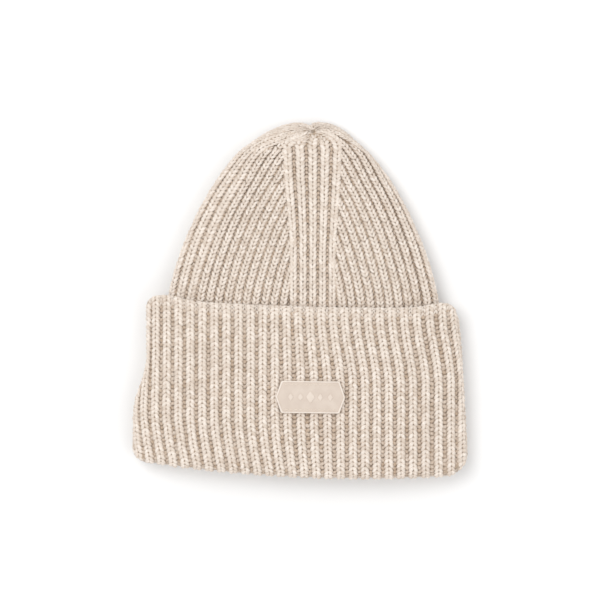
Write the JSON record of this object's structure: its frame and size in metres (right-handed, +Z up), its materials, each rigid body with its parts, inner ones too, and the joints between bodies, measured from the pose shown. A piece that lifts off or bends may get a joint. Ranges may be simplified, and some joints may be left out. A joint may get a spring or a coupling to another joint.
{
  "type": "knit beanie",
  "caption": "Chunky rib-knit beanie with a deep turn-up cuff, a gathered crown and a small six-sided moulded patch, lying flat.",
  "frame": {"origin": "centre of the underside's bounding box, on the surface that the hat lies on", "axes": "+Z up out of the front face, +Y from the mouth to the crown tip, +X to the right when looking at the front face"},
  "size_m": [0.2189, 0.2334, 0.033],
  "materials": {
    "knit": "soft matt wool yarn, oatmeal with pale flecks",
    "knit_edge": "soft matt wool yarn, drawn tight",
    "patch": "matt moulded silicone, warm beige",
    "thread": "twisted sewing thread",
    "label": "woven satin tape, blank"
  },
  "bodies": {
    "hat_body": {"cuff_back": "knit", "cuff_edge_back": "knit_edge", "fold_front": "knit", "fold_back": "knit", "inner_band_front": "knit", "inner_band_back": "knit", "crown_panel_front_left": "knit", "crown_panel_front_right": "knit", "crown_panel_back_left": "knit", "crown_panel_back_right": "knit", "rib_strip_front": "knit", "rib_strip_back": "knit", "rib_strip_left": "knit", "rib_strip_right": "knit", "crown_gather": "knit_edge", "closing_yarn": "thread", "care_label": "label", "care_label_stitches": "thread"},
    "cuff_flap": {"cuff_front": "knit", "cuff_edge_front": "knit_edge", "patch_base": "patch", "patch_rim": "patch", "patch_emblem": "patch", "patch_stitches": "thread"}
  },
  "joints": [
    {"name": "cuff_front_lift", "type": "hinge", "parent": "hat_body", "child": "cuff_flap", "pos_m": [0, -0.1135, 0.0264], "axis": [1, 0, 0], "range_deg": [0, 14]}
  ]
}
